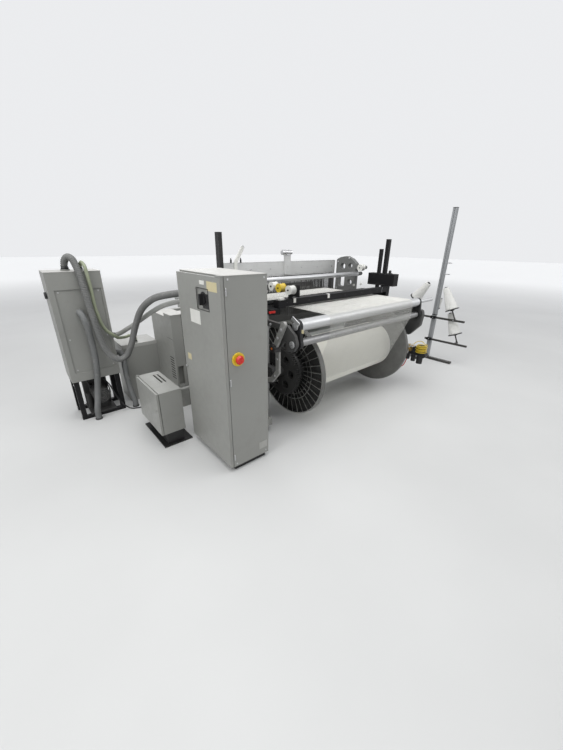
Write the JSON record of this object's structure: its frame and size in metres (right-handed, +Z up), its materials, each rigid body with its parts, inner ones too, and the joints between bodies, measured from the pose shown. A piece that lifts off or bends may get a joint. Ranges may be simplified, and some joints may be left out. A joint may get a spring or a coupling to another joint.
{
  "type": "power loom",
  "caption": "Weaving loom with a warp beam, rolls, stop motion, heald frames, sley, cloth roll, control cabinets, hoses and a creel of weft cones.",
  "frame": {"origin": "on the floor, under the middle of the whole loom", "axes": "+X along the warp beam, away from the cabinets; +Y from the warp beam to the cloth roll; +Z up"},
  "size_m": [4.466, 2.28, 1.98],
  "materials": {
    "frame_paint": "semi-gloss grey paint, worn",
    "cover_paint": "warm light grey enamel",
    "dark_paint": "dark grey paint",
    "black_paint": "semi-gloss black",
    "cast_dark": "cast, painted dark grey",
    "steel": "ground steel",
    "polished": "polished",
    "wires": "thin steel strip",
    "yarn": "undyed yarn",
    "cloth": "undyed cloth",
    "hose": "ribbed dark grey",
    "duct": "grey plastic",
    "white_plastic": "white plastic",
    "yellow": "yellow plastic",
    "red": "red plastic",
    "green": "green plastic",
    "black_plastic": "black plastic",
    "heald_metal": "aluminium rails"
  },
  "bodies": {
    "loom": {"left_side_frame": "frame_paint", "right_side_frame": "frame_paint", "cross_beams": "frame_paint", "rear_brackets": "dark_paint", "let_off_case": "cover_paint", "stop_motion_bar": "black_paint", "drop_wires": "wires", "support_tube": "polished", "harness_guides": "dark_paint", "gear_case": "frame_paint", "end_covers": "cover_paint", "right_cover": "cover_paint", "breast_beam": "frame_paint", "temples": "dark_paint", "cloth": "cloth", "warp_sheet_rear": "yarn", "warp_sheet_top": "yarn", "main_cabinet": "cover_paint", "small_box": "cover_paint", "aux_cabinet": "cover_paint", "aux_stand": "black_paint", "pump_unit": "dark_paint", "large_conduit": "hose", "slim_hoses": "duct", "creel_stand": "frame_paint", "weft_cones": "white_plastic", "spool_bracket": "black_paint", "right_guide_block": "frame_paint", "selvedge_box": "black_paint", "button_box": "cover_paint", "air_unit": "dark_paint"},
    "warp_beam": {"beam_barrel": "cast_dark", "beam_flanges": "cast_dark", "yarn_package": "yarn", "beam_gear": "cast_dark"},
    "pinion": {"let_off_pinion": "steel"},
    "backrest": {"backrest_arms": "dark_paint"},
    "whip": {"whip_roll": "polished"},
    "guide": {"guide_roll": "polished"},
    "heald_1": {"heald_frame_1": "heald_metal"},
    "heald_2": {"heald_frame_2": "heald_metal"},
    "heald_3": {"heald_frame_3": "heald_metal"},
    "heald_4": {"heald_frame_4": "heald_metal"},
    "sley_and_reed": {"sley": "frame_paint", "reed": "wires"},
    "take_up": {"take_up_roller": "dark_paint"},
    "press": {"press_roller": "steel"},
    "cloth_beam": {"cloth_roll": "cloth"},
    "main_door": {"cabinet_door": "cover_paint"},
    "main_switch": {"switch_handle": "black_plastic"},
    "emergency_stop": {"stop_button": "red"},
    "box_door": {"small_box_door": "cover_paint"},
    "rear_door": {"aux_door": "cover_paint"},
    "valve_knob": {"aux_knob": "black_plastic"},
    "left_spool_1": {"spool_1": "white_plastic"},
    "left_spool_2": {"spool_2": "yellow"},
    "left_spool_3": {"spool_3": "white_plastic"},
    "far_spool": {"right_spool": "white_plastic"},
    "start": {"start_button": "green"},
    "halt": {"halt_button": "red"}
  },
  "joints": [
    {"name": "beam_spin", "type": "hinge", "parent": "loom", "child": "warp_beam", "pos_m": [0, -0.58, 0.479], "axis": [1, 0, 0], "continuous": true},
    {"name": "pinion_spin", "type": "hinge", "parent": "loom", "child": "pinion", "pos_m": [0, -0.328, 0.479], "axis": [1, 0, 0], "continuous": true},
    {"name": "backrest_swing", "type": "hinge", "parent": "loom", "child": "backrest", "pos_m": [0, -0.975, 0.86], "axis": [1, 0, 0], "range_deg": [-3, 3], "stiffness_Nm_per_rad": 6000, "springref_deg": -0.29, "deforming": ["warp_sheet_rear", "warp_sheet_top"]},
    {"name": "whip_roll_spin", "type": "hinge", "parent": "backrest", "child": "whip", "pos_m": [0, -0.96, 0.986], "axis": [1, 0, 0], "continuous": true},
    {"name": "guide_roll_spin", "type": "hinge", "parent": "loom", "child": "guide", "pos_m": [0, -0.975, 0.86], "axis": [1, 0, 0], "continuous": true},
    {"name": "heald_1_lift", "type": "slide", "parent": "loom", "child": "heald_1", "axis": [0, 0, 1], "range_m": [-0.045, 0.045]},
    {"name": "heald_2_lift", "type": "slide", "parent": "loom", "child": "heald_2", "axis": [0, 0, 1], "range_m": [-0.045, 0.045]},
    {"name": "heald_3_lift", "type": "slide", "parent": "loom", "child": "heald_3", "axis": [0, 0, 1], "range_m": [-0.045, 0.045]},
    {"name": "heald_4_lift", "type": "slide", "parent": "loom", "child": "heald_4", "axis": [0, 0, 1], "range_m": [-0.045, 0.045]},
    {"name": "sley_swing", "type": "hinge", "parent": "loom", "child": "sley_and_reed", "pos_m": [0, 0.43, 0.3], "axis": [1, 0, 0], "range_deg": [-6, 9]},
    {"name": "take_up_spin", "type": "hinge", "parent": "loom", "child": "take_up", "pos_m": [0, 0.826, 0.72], "axis": [1, 0, 0], "continuous": true},
    {"name": "press_spin", "type": "hinge", "parent": "loom", "child": "press", "pos_m": [0, 0.946, 0.72], "axis": [1, 0, 0], "continuous": true},
    {"name": "cloth_roll_spin", "type": "hinge", "parent": "loom", "child": "cloth_beam", "pos_m": [0, 0.736, 0.34], "axis": [1, 0, 0], "continuous": true},
    {"name": "cabinet_door_hinge", "type": "hinge", "parent": "loom", "child": "main_door", "pos_m": [-1.526, -0.957, 0.7], "axis": [0, 0, 1], "range_deg": [0, 105]},
    {"name": "switch_turn", "type": "hinge", "parent": "main_door", "child": "main_switch", "pos_m": [-1.54, -0.74, 1.205], "axis": [1, 0, 0], "range_deg": [0, 90]},
    {"name": "stop_push", "type": "slide", "parent": "loom", "child": "emergency_stop", "axis": [0, 1, 0], "range_m": [0, 0.004]},
    {"name": "small_box_door_hinge", "type": "hinge", "parent": "loom", "child": "box_door", "pos_m": [-1.79, 0.094, 0.3], "axis": [0, 0, 1], "range_deg": [-110, 0]},
    {"name": "aux_door_hinge", "type": "hinge", "parent": "loom", "child": "rear_door", "pos_m": [-2.207, 0.816, 0.8], "axis": [0, 0, 1], "range_deg": [0, 110]},
    {"name": "aux_knob_turn", "type": "hinge", "parent": "loom", "child": "valve_knob", "pos_m": [-2.215, 0.68, 1.12], "axis": [1, 0, 0], "range_deg": [0, 90]},
    {"name": "spool_1_spin", "type": "hinge", "parent": "loom", "child": "left_spool_1", "pos_m": [-0.679, -0.384, 1.193], "axis": [1, 0, 0], "continuous": true},
    {"name": "spool_2_spin", "type": "hinge", "parent": "loom", "child": "left_spool_2", "pos_m": [-0.679, -0.481, 1.188], "axis": [1, 0, 0], "continuous": true},
    {"name": "spool_3_spin", "type": "hinge", "parent": "loom", "child": "left_spool_3", "pos_m": [-0.679, -0.608, 1.183], "axis": [1, 0, 0], "continuous": true},
    {"name": "right_spool_spin", "type": "hinge", "parent": "loom", "child": "far_spool", "pos_m": [0.77, -0.232, 1.29], "axis": [1, 0, 0], "continuous": true},
    {"name": "start_push", "type": "slide", "parent": "loom", "child": "start", "axis": [0, 0, -1], "range_m": [0, 0.004], "stiffness_N_per_m": 800, "springref_m": -0.004},
    {"name": "halt_push", "type": "slide", "parent": "loom", "child": "halt", "axis": [0, 0, -1], "range_m": [0, 0.004], "stiffness_N_per_m": 800, "springref_m": -0.004}
  ],
  "couplings": [
    {"joint": "pinion_spin", "follows": "beam_spin", "ratio": -6},
    {"joint": "heald_2_lift", "follows": "heald_1_lift", "ratio": -1},
    {"joint": "heald_3_lift", "follows": "heald_1_lift", "ratio": 1},
    {"joint": "heald_4_lift", "follows": "heald_1_lift", "ratio": -1},
    {"joint": "press_spin", "follows": "take_up_spin", "ratio": -2.1053},
    {"joint": "cloth_roll_spin", "follows": "take_up_spin", "ratio": 0.47059}
  ]
}
